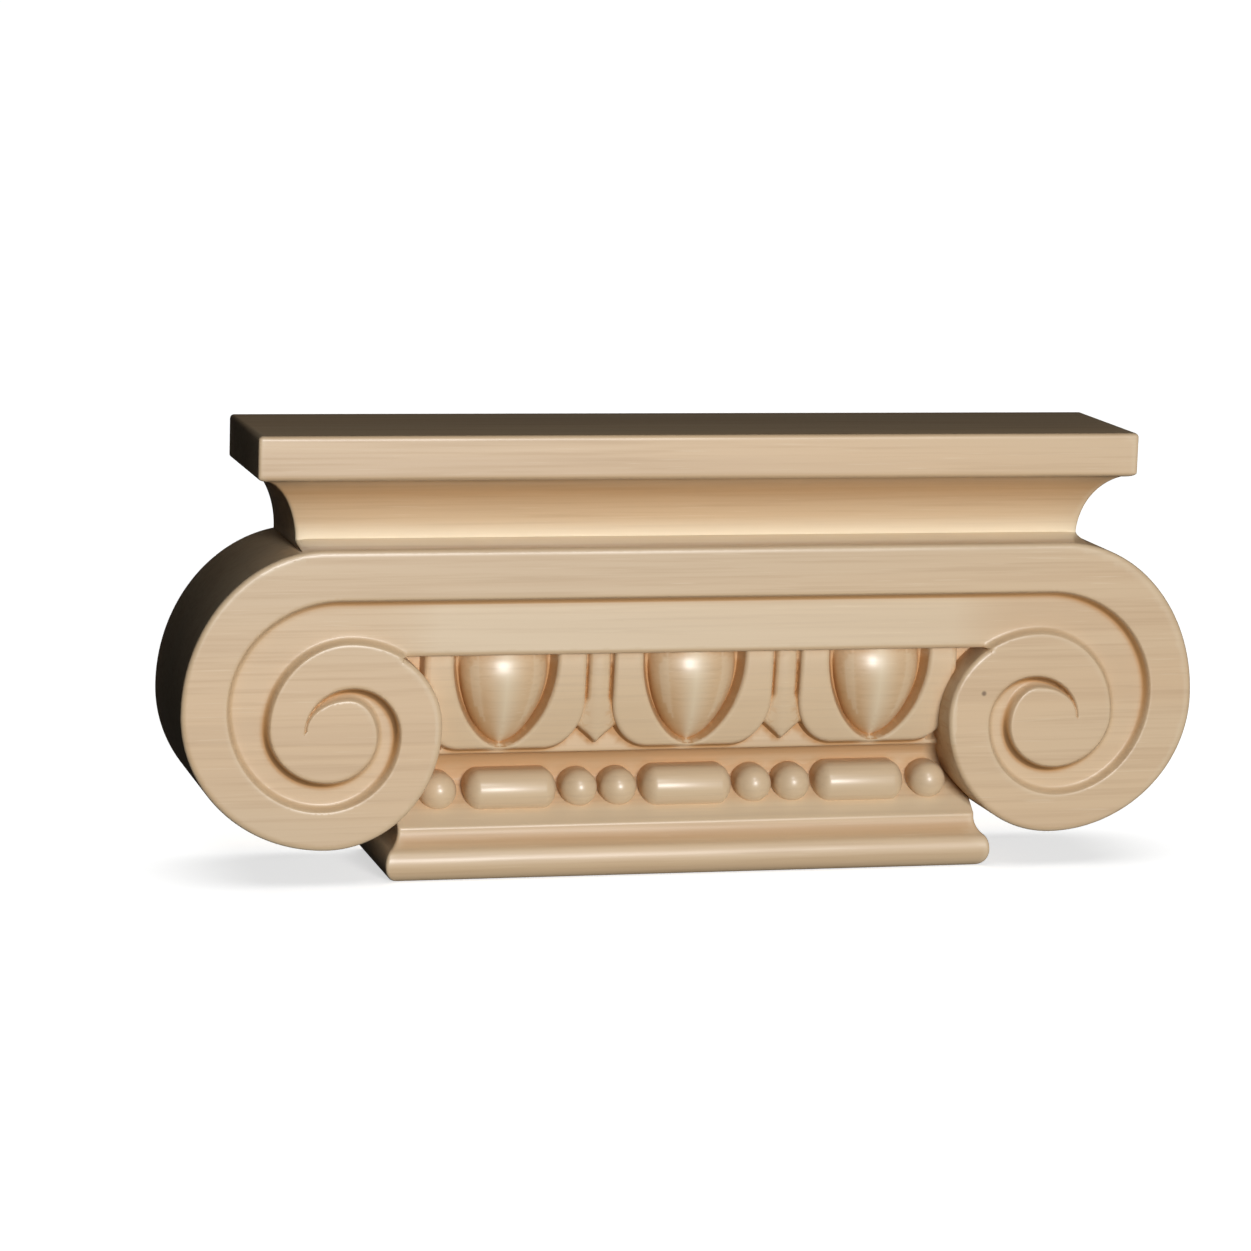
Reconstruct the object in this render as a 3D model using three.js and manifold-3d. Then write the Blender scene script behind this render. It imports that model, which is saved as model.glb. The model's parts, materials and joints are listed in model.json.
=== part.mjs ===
// Ionic pilaster capital carved from one piece of maple.
// Millimetres, +Z up, front face towards -Y, flat back towards +Y, underside on Z = 0.
import * as THREE from "three";
import { mergeVertices } from "three/addons/utils/BufferGeometryUtils.js";
import Module from "manifold-3d";

// Overall size
const INCH = 25.4;
const WIDTH = 7 * INCH;
const HEIGHT = 3 * INCH;
const DEPTH = 1.125 * INCH;
const BACK = DEPTH / 2;

// Abacus: the flat slab on top and the hollow under it
const ABACUS_HALF_WIDTH = 76.7;
const FASCIA_BOTTOM = 68.5;
const FASCIA_LIP = 0.9;
const FASCIA_EDGE = 1.8;
const FASCIA_TOP_EDGE = 0.7;
const HOLLOW_TURN = 74 * Math.PI / 180;
const HOLLOW_INSET = 7.8;
const SHELF_HEIGHT = 57.1;

// Volute plate: the band across the front and the two scrolls
const PLATE_DEPTH = 28.1;
const PLATE_EDGE = 0.8;
const CHANNEL_DEPTH = 1.4;
const CHANNEL_TOP = 48.7;
const BAR_BOTTOM = 38.7;
const CHANNEL_STRAIGHT_END = 62.2;

// Bell between the scrolls: neck, hollow behind the beads, fillet and swelling face
const NECK_HALF_WIDTH = 51.2;
const NECK_DEPTH = 24.3;
const NECK_TOP = 9.1;
const HOLLOW_MIDDLE = 15.6;
const HOLLOW_DEPTH = 17.0;
const HOLLOW_POWER = 1.25;
const FILLET_TOP = 22.0;
const FILLET_BOTTOM = 20.6;
const FILLET_DEPTH = 19.9;
const OVOLO_TOP_DEPTH = 23.8;
const OVOLO_FOOT_DEPTH = 21.2;
const OVOLO_STEPS = 6;
const HOLLOW_STEPS = 5;
const GROUND_DROP = 2.4;

// Base moulding under the bell
const BASE_HALF_WIDTH = 53.6;
const BASE_DEPTH = 26.7;
const COVE_TOP = 8.6;
const COVE_BOTTOM = 5.4;
const COVE_PROJECTION = 1.6;
const COVE_TURN = 62 * Math.PI / 180;
const ROLL_WIDEST = 3.0;

// Egg and dart
const EGG_SPACING = 33.0;
const EGG_HALF_WIDTH = 7.8;
const EGG_CENTRE_HEIGHT = 37.3;
const EGG_HEIGHT = 15.0;
const EGG_SWELL = 0.51;
const EGG_TAPER = 0.62;
const GROOVE_WIDTH = 1.15;
const GROOVE_DROP = 2.6;
const SHELL_HALF_WIDTH = 14.1;
const SHELL_CORNER_WIDTH = 6.9;
const SHELL_CORNER_HEIGHT = 8.4;
const SHELL_BOTTOM = FILLET_TOP - 0.5;
const DART_STEM_HALF_WIDTH = 1.9;
const DART_BARB_HALF_WIDTH = 3.9;
const DART_BARB_HEIGHT = 26.0;
const DART_TIP_HEIGHT = 22.5;
const DART_DROP = 0.6;

// Bead and reel
const BEAD_ROW_HEIGHT = 14.4;
const BEAD_RADIUS = 3.25;
const BEAD_AXIS_DEPTH = 19.8;
const BEAD_ROOT = BEAD_AXIS_DEPTH - HOLLOW_DEPTH + 1;
const BEAD_OFFSETS = [12.0, 18.95, 43.6];
const REEL_SPACING = 31.0;
const REEL_LENGTH = 16.0;
const REEL_RADIUS = 3.5;
const REEL_END = 2.6;

// Extremes of the scroll, from the top of the plate inwards to the eye.
// Each pair of neighbours is joined by a quarter of an ellipse.
const SCROLL_EDGE = [
  [64.8, 57.1], [88.9, 29.7], [64.0, 6.2], [44.65, 26.8], [60.6, 41.3],
  [74.0, 27.1], [64.0, 17.9], [55.85, 25.4], [60.7, 31.8], [67.8, 26.7],
];
const CHANNEL_EDGE = [
  [CHANNEL_STRAIGHT_END, CHANNEL_TOP], [81.2, 30.5], [64.8, 12.9], [51.8, 25.7], [60.1, 33.9], [68.1, 26.4],
];
const ARC_STEPS = 14;
const ROUND_STEPS = 24;

const wasm = await Module();
wasm.setup();

// Solids

function solidOf(geometry) {
  geometry.deleteAttribute("normal");
  geometry.deleteAttribute("uv");
  const welded = mergeVertices(geometry, 1e-4);
  return new wasm.Manifold(new wasm.Mesh({
    numProp: 3,
    vertProperties: new Float32Array(welded.attributes.position.array),
    triVerts: new Uint32Array(welded.index.array),
  }));
}

function geometryOf(solid) {
  const mesh = solid.getMesh();
  const geometry = new THREE.BufferGeometry();
  geometry.setAttribute("position", new THREE.BufferAttribute(new Float32Array(mesh.vertProperties), 3));
  geometry.setIndex(new THREE.BufferAttribute(new Uint32Array(mesh.triVerts), 1));
  const faceted = geometry.toNonIndexed();
  faceted.computeVertexNormals();
  return faceted;
}

function shapeOf(points) {
  return new THREE.Shape(points.map(([across, up]) => new THREE.Vector2(across, up)));
}

// A front outline (across, up) as thick as from one depth to another, measured forward from the back.
function frontPlate(points, fromDepth, toDepth, edge = 0) {
  const geometry = new THREE.ExtrudeGeometry(shapeOf(points), {
    depth: toDepth - fromDepth - edge,
    bevelEnabled: edge > 0,
    bevelThickness: edge,
    bevelSize: edge,
    bevelOffset: -edge,
    bevelSegments: 2,
    curveSegments: ARC_STEPS,
  });
  geometry.rotateX(Math.PI / 2);
  geometry.translate(0, BACK - fromDepth, 0);
  return solidOf(geometry);
}

// A side profile (depth, up) run straight across the front.
function runAcross(points, halfWidth) {
  const geometry = new THREE.ExtrudeGeometry(shapeOf(points), { depth: 2 * halfWidth, bevelEnabled: false });
  geometry.applyMatrix4(new THREE.Matrix4().set(
    0, 0, -1, halfWidth,
    -1, 0, 0, BACK,
    0, 1, 0, 0,
    0, 0, 0, 1,
  ));
  return solidOf(geometry);
}

// A moulding that turns the corner at both ends: its profile seen from the side and from the front.
function mitredMoulding(profile, halfWidth) {
  const front = Math.max(...profile.map(([depth]) => depth));
  const side = [[-1, profile[0][1]], ...profile, [-1, profile[profile.length - 1][1]]];
  const right = profile.map(([depth, up]) => [halfWidth - (front - depth), up]);
  const left = right.map(([across, up]) => [-across, up]).reverse();
  return runAcross(side, halfWidth + 1).intersect(frontPlate([...right, ...left], -1, front + 1));
}

function mirrored(solid) {
  return solid.mirror([1, 0, 0]);
}

// Curves

// An arc that leaves its start level or upright, and turns by a quarter or by the reach.
function quarter(from, to, startsLevel, steps, reach = Math.PI / 2) {
  const points = [];
  for (let i = 0; i <= steps; i += 1) {
    const turn = (i / steps) * reach;
    const ahead = Math.sin(turn) / Math.sin(reach);
    const aside = (1 - Math.cos(turn)) / (1 - Math.cos(reach));
    const [along, rise] = startsLevel ? [ahead, aside] : [aside, ahead];
    points.push([from[0] + (to[0] - from[0]) * along, from[1] + (to[1] - from[1]) * rise]);
  }
  return points;
}

function scroll(extremes) {
  const points = [];
  for (let i = 0; i + 1 < extremes.length; i += 1) {
    const arc = quarter(extremes[i], extremes[i + 1], i % 2 === 0, ARC_STEPS);
    points.push(...(i === 0 ? arc : arc.slice(1)));
  }
  return points;
}

// Pieces of the carving

function abacus() {
  const hollowDepth = DEPTH - HOLLOW_INSET;
  const underEdge = DEPTH - FASCIA_EDGE;
  const profile = [
    [hollowDepth, SHELF_HEIGHT - 3],
    ...quarter([hollowDepth, SHELF_HEIGHT], [underEdge, FASCIA_BOTTOM], false, 10, HOLLOW_TURN),
    ...quarter([underEdge, FASCIA_BOTTOM], [DEPTH, FASCIA_BOTTOM + FASCIA_LIP], true, 4).slice(1),
    ...quarter([DEPTH, HEIGHT - FASCIA_TOP_EDGE], [DEPTH - FASCIA_TOP_EDGE, HEIGHT], false, 3),
  ];
  return mitredMoulding(profile, ABACUS_HALF_WIDTH);
}

function plateOutline() {
  const outline = scroll(SCROLL_EDGE.slice(0, 4));
  const turnIn = quarter(SCROLL_EDGE[3], SCROLL_EDGE[4], false, ARC_STEPS).slice(1);
  outline.push(...turnIn.filter(([, up]) => up < BAR_BOTTOM - 0.2));
  outline.push([barEnd(), BAR_BOTTOM]);
  const left = outline.map(([across, up]) => [-across, up]).reverse();
  return [...outline, ...left].reverse();
}

// Where the inner turn of the scroll meets the lower edge of the bar.
function barEnd() {
  const [inner, top] = [SCROLL_EDGE[3], SCROLL_EDGE[4]];
  const rise = (BAR_BOTTOM - inner[1]) / (top[1] - inner[1]);
  return top[0] - (top[0] - inner[0]) * Math.sqrt(1 - rise * rise);
}

function volutePlate() {
  const plate = frontPlate(plateOutline(), -4, PLATE_DEPTH, PLATE_EDGE);
  const turns = scroll(SCROLL_EDGE).slice(3 * ARC_STEPS);
  const inner = turns.filter(([, up], i) => up > BAR_BOTTOM || i > ARC_STEPS);
  const outer = scroll(CHANNEL_EDGE).reverse();
  const channel = [
    [-5, BAR_BOTTOM - 2], [barEnd(), BAR_BOTTOM - 2], [barEnd(), BAR_BOTTOM],
    ...inner, ...outer, [-5, CHANNEL_TOP],
  ];
  const cut = frontPlate(channel, PLATE_DEPTH - CHANNEL_DEPTH, PLATE_DEPTH + 3);
  return plate.subtract(cut).subtract(mirrored(cut));
}

// How far forward the swelling face stands at a height.
function ovoloDepth(up) {
  const fall = Math.min(Math.max((BAR_BOTTOM - up) / (BAR_BOTTOM - SHELL_BOTTOM), 0), 1);
  return OVOLO_TOP_DEPTH - (OVOLO_TOP_DEPTH - OVOLO_FOOT_DEPTH) * fall ** 2;
}

// Everything behind the swelling face set back by a drop, from under the bar down to the fillet.
function behindOvolo(drop, halfWidth) {
  const profile = [[-1, FILLET_BOTTOM], [OVOLO_FOOT_DEPTH - drop, FILLET_BOTTOM]];
  for (let i = 0; i <= OVOLO_STEPS; i += 1) {
    const up = SHELL_BOTTOM + (BAR_BOTTOM - SHELL_BOTTOM) * (i / OVOLO_STEPS);
    profile.push([ovoloDepth(up) - drop, up]);
  }
  profile.push([OVOLO_TOP_DEPTH - drop, BAR_BOTTOM + 2], [-1, BAR_BOTTOM + 2]);
  return runAcross(profile, halfWidth);
}

// The hollow rises gently to the neck below it and steeply to the fillet above it.
function rowHollow() {
  const points = [];
  for (let i = 0; i < HOLLOW_STEPS; i += 1) {
    const fall = 1 - i / HOLLOW_STEPS;
    const depth = HOLLOW_DEPTH + (NECK_DEPTH - HOLLOW_DEPTH) * fall ** HOLLOW_POWER;
    points.push([depth, HOLLOW_MIDDLE - (HOLLOW_MIDDLE - NECK_TOP) * fall]);
  }
  const upper = quarter([HOLLOW_DEPTH, HOLLOW_MIDDLE], [FILLET_DEPTH, FILLET_BOTTOM], false, HOLLOW_STEPS);
  return [...points, ...upper];
}

function bell() {
  const profile = [
    [-1, 1], [NECK_DEPTH - 1, 1], [NECK_DEPTH, COVE_TOP - 1], ...rowHollow(),
    [FILLET_DEPTH, FILLET_TOP], [-1, FILLET_TOP],
  ];
  const dartMiddle = EGG_SPACING / 2;
  const spandrels = [
    [0, FILLET_BOTTOM - 2], [EGG_SPACING, FILLET_BOTTOM - 2], [EGG_SPACING, DART_BARB_HEIGHT],
    [dartMiddle + DART_BARB_HALF_WIDTH, DART_BARB_HEIGHT], [dartMiddle, DART_TIP_HEIGHT],
    [dartMiddle - DART_BARB_HALF_WIDTH, DART_BARB_HEIGHT], [0, DART_BARB_HEIGHT],
  ].reverse();
  const raised = frontPlate(spandrels, 1, FILLET_DEPTH).intersect(behindOvolo(0, EGG_SPACING + 1));
  return runAcross(profile, NECK_HALF_WIDTH).add(behindOvolo(GROUND_DROP, barEnd() + 3))
    .add(raised).add(mirrored(raised));
}

function base() {
  const meeting = [NECK_DEPTH + COVE_PROJECTION, COVE_BOTTOM];
  const profile = [
    ...quarter([BASE_DEPTH - 2.2, 0], [BASE_DEPTH, ROLL_WIDEST], true, 3),
    ...quarter([BASE_DEPTH, ROLL_WIDEST], meeting, false, 5, COVE_TURN).slice(1),
    ...quarter([NECK_DEPTH, COVE_TOP], meeting, false, 6, COVE_TURN).reverse().slice(1),
    [NECK_DEPTH - 1, COVE_TOP],
  ];
  return mitredMoulding(profile, BASE_HALF_WIDTH);
}

// Half width of the egg at a height, wider than the egg itself by a margin.
function eggOutline(margin, steps) {
  const points = [];
  for (let i = 0; i <= steps; i += 1) {
    const fall = i / steps;
    const down = Math.sin(fall * (Math.PI / 2));
    const half = (EGG_HALF_WIDTH + margin) * (1 - down * down) ** EGG_TAPER;
    points.push([half, EGG_CENTRE_HEIGHT - (EGG_HEIGHT + margin * 0.4) * down]);
  }
  return points;
}

// The egg's round section is flattened, and its axis leans with the floor of the groove around it.
function egg(centre) {
  const outline = eggOutline(0, 12).map(([radius, up]) => new THREE.Vector2(Math.max(radius, 0), up));
  outline.reverse();
  outline.push(new THREE.Vector2(EGG_HALF_WIDTH, BAR_BOTTOM + 2), new THREE.Vector2(0, BAR_BOTTOM + 2));
  const lathe = new THREE.LatheGeometry(outline, ROUND_STEPS);
  lathe.rotateX(Math.PI / 2);
  lathe.scale(1, EGG_SWELL, 1);
  const place = lathe.attributes.position;
  for (let i = 0; i < place.count; i += 1) {
    place.setY(i, place.getY(i) + BACK - ovoloDepth(place.getZ(i)) + GROOVE_DROP);
  }
  lathe.translate(centre, 0, 0);
  return solidOf(lathe);
}

// A front outline that is the same on both sides of its middle, from its right half, top to bottom.
function bothSides(right) {
  const left = right.filter(([across]) => across > 1e-6).map(([across, up]) => [-across, up]).reverse();
  return [...right, ...left].reverse();
}

function shell(centre) {
  const corner = quarter([SHELL_HALF_WIDTH, SHELL_BOTTOM + SHELL_CORNER_HEIGHT],
    [SHELL_HALF_WIDTH - SHELL_CORNER_WIDTH, SHELL_BOTTOM], false, 8);
  const outline = bothSides([[SHELL_HALF_WIDTH, BAR_BOTTOM + 2], ...corner]);
  const solid = frontPlate(outline, 1, DEPTH).intersect(behindOvolo(0, SHELL_HALF_WIDTH + 1));
  return solid.translate([centre, 0, 0]);
}

function groove(centre) {
  const right = [[EGG_HALF_WIDTH + GROOVE_WIDTH, BAR_BOTTOM + 3], ...eggOutline(GROOVE_WIDTH, 12)];
  const outline = bothSides(right);
  const cut = frontPlate(outline, 1, DEPTH).subtract(behindOvolo(GROOVE_DROP, SHELL_HALF_WIDTH));
  return cut.translate([centre, 0, 0]);
}

function dart(centre) {
  const outline = bothSides([
    [DART_STEM_HALF_WIDTH, BAR_BOTTOM + 2], [DART_STEM_HALF_WIDTH, DART_BARB_HEIGHT + 4.5],
    [DART_BARB_HALF_WIDTH, DART_BARB_HEIGHT], [0, DART_TIP_HEIGHT],
  ]);
  return frontPlate(outline, 1, DEPTH).intersect(behindOvolo(DART_DROP, DART_BARB_HALF_WIDTH + 1))
    .translate([centre, 0, 0]);
}

// Draws the back half of a rounded form straight back, so that nothing is undercut.
function runBack(geometry) {
  const place = geometry.attributes.position;
  for (let i = 0; i < place.count; i += 1) {
    if (place.getY(i) > 1e-3) {
      place.setY(i, place.getY(i) + BEAD_ROOT);
    }
  }
  return geometry;
}

function bead(centre) {
  const sphere = runBack(new THREE.SphereGeometry(BEAD_RADIUS, ROUND_STEPS, 12));
  sphere.translate(centre, BACK - BEAD_AXIS_DEPTH, BEAD_ROW_HEIGHT);
  return solidOf(sphere);
}

function reel(centre) {
  const half = REEL_LENGTH / 2;
  const rightEnd = quarter([half - REEL_END, REEL_RADIUS], [half, 0], true, 6);
  const leftEnd = rightEnd.map(([along, radius]) => [-along, radius]).reverse();
  const lathe = new THREE.LatheGeometry(
    [...leftEnd, ...rightEnd].map(([along, radius]) => new THREE.Vector2(Math.max(radius, 0), along)),
    ROUND_STEPS,
  );
  lathe.rotateZ(-Math.PI / 2);
  runBack(lathe).translate(centre, BACK - BEAD_AXIS_DEPTH, BEAD_ROW_HEIGHT);
  return solidOf(lathe);
}

// The whole capital

function capital() {
  let solid = bell();
  for (const place of [-1, 0, 1]) {
    const middle = place * EGG_SPACING;
    solid = solid.add(shell(middle)).subtract(groove(middle)).add(egg(middle));
    solid = solid.add(reel(place * REEL_SPACING));
  }
  for (const side of [-1, 1]) {
    solid = solid.add(dart(side * EGG_SPACING / 2));
    for (const offset of BEAD_OFFSETS) {
      solid = solid.add(bead(side * offset));
    }
  }
  solid = solid.add(abacus()).add(volutePlate()).add(base());
  const keep = new THREE.BoxGeometry(WIDTH + 2, DEPTH, HEIGHT);
  keep.translate(0, 0, HEIGHT / 2);
  return solid.intersect(solidOf(keep));
}

const maple = new THREE.MeshStandardMaterial({
  name: "maple", color: 0xd2b996, roughness: 0.45, metalness: 0,
});

const piece = new THREE.Mesh(geometryOf(capital()), maple);
piece.name = "capital";

const part = new THREE.Group();
part.name = "ionic_capital";
part.add(piece);

export default part;
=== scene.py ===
import json
import math

import bmesh
import bpy
import numpy as np
from mathutils import Matrix, Vector
from mathutils.geometry import delaunay_2d_cdt

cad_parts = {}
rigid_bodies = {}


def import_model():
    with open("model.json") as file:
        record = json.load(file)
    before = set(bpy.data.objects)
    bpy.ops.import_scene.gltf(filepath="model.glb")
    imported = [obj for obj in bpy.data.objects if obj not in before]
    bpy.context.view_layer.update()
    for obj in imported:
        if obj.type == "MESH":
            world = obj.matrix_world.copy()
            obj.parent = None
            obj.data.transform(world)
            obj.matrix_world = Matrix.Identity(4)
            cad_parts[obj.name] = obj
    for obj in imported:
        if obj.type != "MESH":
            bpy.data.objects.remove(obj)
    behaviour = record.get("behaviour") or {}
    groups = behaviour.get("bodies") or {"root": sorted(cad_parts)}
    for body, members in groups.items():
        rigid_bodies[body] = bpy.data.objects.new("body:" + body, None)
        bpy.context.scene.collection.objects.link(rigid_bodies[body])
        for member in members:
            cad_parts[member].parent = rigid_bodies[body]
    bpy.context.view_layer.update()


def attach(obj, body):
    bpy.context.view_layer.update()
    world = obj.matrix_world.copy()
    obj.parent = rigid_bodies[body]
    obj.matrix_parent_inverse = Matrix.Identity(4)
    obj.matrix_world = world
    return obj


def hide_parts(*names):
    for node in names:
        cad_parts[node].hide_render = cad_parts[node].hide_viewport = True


for leftover in list(bpy.data.objects):
    bpy.data.objects.remove(leftover)
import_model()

# Sizes of the carving, in millimetres, as in the part's own source

INCH = 25.4
HEIGHT = 3 * INCH
DEPTH = 1.125 * INCH
BACK = DEPTH / 2

ABACUS_HALF_WIDTH = 76.7
FASCIA_BOTTOM = 68.5
FASCIA_LIP = 0.9
FASCIA_EDGE = 1.8
FASCIA_TOP_EDGE = 0.7
HOLLOW_INSET = 7.8
SHELF_HEIGHT = 57.1
SHELF_FALL = 0.9
HOLLOW_TURN = math.radians(74)
CORNER_EASE = 0.5

PLATE_DEPTH = 28.1
PLATE_EDGE = 0.8
CHANNEL_DEPTH = 1.4
CHANNEL_TOP = 48.7
CHANNEL_SCOOP = 1.1
CHANNEL_SCOOP_POWER = 2.0
CHANNEL_RIM = 0.2
BAR_BOTTOM = 38.7
CHANNEL_STRAIGHT_END = 62.2
WALL_DRAFT = 0.15

NECK_HALF_WIDTH = 51.2
NECK_DEPTH = 24.3
NECK_TOP = 9.1
HOLLOW_MIDDLE = 15.6
HOLLOW_DEPTH = 17.0
HOLLOW_POWER = 1.25
FILLET_TOP = 22.0
FILLET_BOTTOM = 20.6
FILLET_DEPTH = 19.9
OVOLO_TOP_DEPTH = 23.8
OVOLO_FOOT_DEPTH = 21.2
GROUND_DROP = 2.4

BASE_HALF_WIDTH = 53.6
BASE_DEPTH = 26.7
COVE_TOP = 8.6
COVE_BOTTOM = 5.4
COVE_PROJECTION = 1.6
ROLL_WIDEST = 3.0
COVE_TURN = math.radians(62)

EGG_SPACING = 33.0
EGG_HALF_WIDTH = 7.8
EGG_CENTRE_HEIGHT = 37.3
EGG_HEIGHT = 15.0
EGG_SWELL = 0.51
EGG_CREST = 32.0
EGG_TOP_DROP = 1.2
EGG_TAPER = 0.62
GROOVE_WIDTH = 1.15
SHELL_HALF_WIDTH = 14.1
SHELL_CORNER_WIDTH = 6.9
SHELL_CORNER_HEIGHT = 8.4
GROOVE_DROP = 2.6
GROOVE_SLOPE = 0.8
SHELL_EDGE = 0.8
SHELL_DRAFT = 0.4
DART_STEM_HALF_WIDTH = 1.9
DART_BARB_HALF_WIDTH = 3.9
DART_BARB_HEIGHT = 26.0
DART_BARB_LENGTH = 4.5
DART_TIP_HEIGHT = 22.5
DART_DROP = 0.6
DART_RIDGE = 0.4
DART_EDGE = 0.6

BEAD_ROW_HEIGHT = 14.4
BEAD_RADIUS = 3.25
BEAD_AXIS_DEPTH = 19.8
BEAD_PAIR_CENTRE = 15.5
BEAD_PAIR_GAP = 6.95
OUTER_BEAD = 43.6
REEL_SPACING = 31.0
REEL_LENGTH = 16.0
REEL_RADIUS = 3.5
REEL_END = 2.6
REEL_CENTRES = [-REEL_SPACING, 0, REEL_SPACING]
BEAD_CENTRES = [
    -OUTER_BEAD,
    -BEAD_PAIR_CENTRE - BEAD_PAIR_GAP / 2,
    -BEAD_PAIR_CENTRE + BEAD_PAIR_GAP / 2,
    BEAD_PAIR_CENTRE - BEAD_PAIR_GAP / 2,
    BEAD_PAIR_CENTRE + BEAD_PAIR_GAP / 2,
    OUTER_BEAD,
]

SCROLL_EDGE = [
    (64.8, 57.1), (88.9, 29.7), (64.0, 6.2), (44.65, 26.8), (60.6, 41.3),
    (74.0, 27.1), (64.0, 17.9), (55.85, 25.4), (60.7, 31.8), (67.8, 26.7),
]
CHANNEL_EDGE = [
    (CHANNEL_STRAIGHT_END, CHANNEL_TOP), (81.2, 30.5), (64.8, 12.9),
    (51.8, 25.7), (60.1, 33.9), (68.1, 26.4),
]
ARC_STEPS = 56
GRID_STEP = 1.1


# Curves in the front view

def quarter(start, end, starts_level, steps, reach=math.pi / 2):
    """An arc that leaves its start level or upright, and turns by a quarter or by the reach."""
    turn = np.linspace(0, reach, steps + 1)
    ahead, aside = np.sin(turn) / math.sin(reach), (1 - np.cos(turn)) / (1 - math.cos(reach))
    along, rise = (ahead, aside) if starts_level else (aside, ahead)
    return np.column_stack([start[0] + (end[0] - start[0]) * along, start[1] + (end[1] - start[1]) * rise])


def scroll(extremes, steps=ARC_STEPS):
    arcs = [quarter(a, b, i % 2 == 0, steps) for i, (a, b) in enumerate(zip(extremes, extremes[1:]))]
    return np.vstack([arcs[0]] + [arc[1:] for arc in arcs[1:]])


def straight(start, end, step=0.8):
    count = max(1, round(math.dist(start, end) / step))
    return np.linspace(start, end, count + 1)


def shifted(line, distance):
    """The line moved sideways, to its left where the distance is positive."""
    along = np.gradient(line, axis=0)
    along /= np.linalg.norm(along, axis=1)[:, None]
    return line + distance * np.column_stack([-along[:, 1], along[:, 0]])


def inside(x, z, outline):
    crossed = np.zeros(len(x), bool)
    for (x0, z0), (x1, z1) in zip(outline, np.roll(outline, -1, axis=0)):
        if z0 != z1:
            crossed ^= ((z0 > z) != (z1 > z)) & (x < x0 + (z - z0) * (x1 - x0) / (z1 - z0))
    return crossed


def distance(x, z, line):
    nearest = np.full(len(x), 1e9)
    for (x0, z0), (x1, z1) in zip(line, line[1:]):
        dx, dz = x1 - x0, z1 - z0
        along = np.clip(((x - x0) * dx + (z - z0) * dz) / (dx * dx + dz * dz), 0, 1)
        nearest = np.minimum(nearest, (x - x0 - along * dx) ** 2 + (z - z0 - along * dz) ** 2)
    return np.sqrt(nearest)


def signed(x, z, outline, edge):
    """Distance to the edge, above nought inside the outline."""
    gap = distance(x, z, edge)
    return np.where(inside(x, z, outline), gap, -gap)


def near(x, z, low, high):
    return (x > low[0]) & (x < high[0]) & (z > low[1]) & (z < high[1])


# Outlines, for the right half

def bar_end(height=BAR_BOTTOM):
    """Where the inner turn of the scroll passes the lower edge of the bar, or another height."""
    inner, top = SCROLL_EDGE[3], SCROLL_EDGE[4]
    rise = (height - inner[1]) / (top[1] - inner[1])
    return top[0] - (top[0] - inner[0]) * math.sqrt(1 - rise * rise)


scroll_line = scroll(SCROLL_EDGE)
outer_turn = scroll_line[:3 * ARC_STEPS + 1]
inner_turns = scroll_line[3 * ARC_STEPS:]
bar_corner = np.array([[bar_end(), BAR_BOTTOM]])
joining = inner_turns[:ARC_STEPS + 1]
plate_edge = np.vstack([
    straight((0, SHELF_HEIGHT), SCROLL_EDGE[0])[:-1],
    outer_turn,
    joining[1:][joining[1:, 1] < BAR_BOTTOM],
    bar_corner,
    straight((bar_end(), BAR_BOTTOM), (0, BAR_BOTTOM))[1:],
])
plate_outline = np.vstack([[(-5, SHELF_HEIGHT)], plate_edge, [(-5, BAR_BOTTOM)]])

after_bar = np.vstack([joining[joining[:, 1] > BAR_BOTTOM], inner_turns[ARC_STEPS + 1:]])
channel_inner = np.vstack([bar_corner, after_bar])
channel_outer = np.vstack([straight((0, CHANNEL_TOP), CHANNEL_EDGE[0])[:-1], scroll(CHANNEL_EDGE)])
UNDER_BAR = BAR_BOTTOM - 2 * WALL_DRAFT
channel_outline = np.vstack([
    [(-5, UNDER_BAR), (bar_end(UNDER_BAR), UNDER_BAR)],
    channel_inner,
    channel_outer[::-1],
    [(-5, CHANNEL_TOP)],
])


def both_sides(right):
    """A closed outline from its right half, which runs from the middle line and back to it."""
    left = right * (-1, 1)
    return np.vstack([right, left[::-1]])


def egg_edge(margin, steps=40):
    down = np.sin(np.linspace(0, math.pi / 2, steps + 1))
    half = (EGG_HALF_WIDTH + margin) * (1 - down * down) ** EGG_TAPER
    return np.column_stack([half, EGG_CENTRE_HEIGHT - (EGG_HEIGHT + margin * 0.4) * down])


def upright(line):
    """Starts a line with a straight stretch that runs up behind the bar."""
    return np.vstack([straight((line[0][0], BAR_BOTTOM + 1), line[0])[:-1], line])


shell_bottom = FILLET_TOP - 0.5
shell_corner = quarter(
    (SHELL_HALF_WIDTH, shell_bottom + SHELL_CORNER_HEIGHT),
    (SHELL_HALF_WIDTH - SHELL_CORNER_WIDTH, shell_bottom),
    False, 24)
shell_edge = np.vstack([upright(shell_corner), straight(shell_corner[-1], (0, shell_bottom))[1:]])
groove_edge = upright(egg_edge(GROOVE_WIDTH))
egg_line = upright(egg_edge(0))
dart_barb = (DART_BARB_HALF_WIDTH, DART_BARB_HEIGHT)
dart_edge = upright(np.vstack([
    straight((DART_STEM_HALF_WIDTH, DART_BARB_HEIGHT + DART_BARB_LENGTH), dart_barb, 0.4)[:-1],
    straight(dart_barb, (0, DART_TIP_HEIGHT), 0.4),
]))
EGG_CENTRES = [-EGG_SPACING, 0, EGG_SPACING]
DART_CENTRES = [-EGG_SPACING / 2, EGG_SPACING / 2]


def closed_by_middle(right):
    """The right half of an outline, closed a little past the middle line."""
    return np.vstack([[(-1, BAR_BOTTOM + 3), (right[0][0], BAR_BOTTOM + 3)], right, [(-1, right[-1][1])]])


# Profiles: how far forward of the back each height comes

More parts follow.
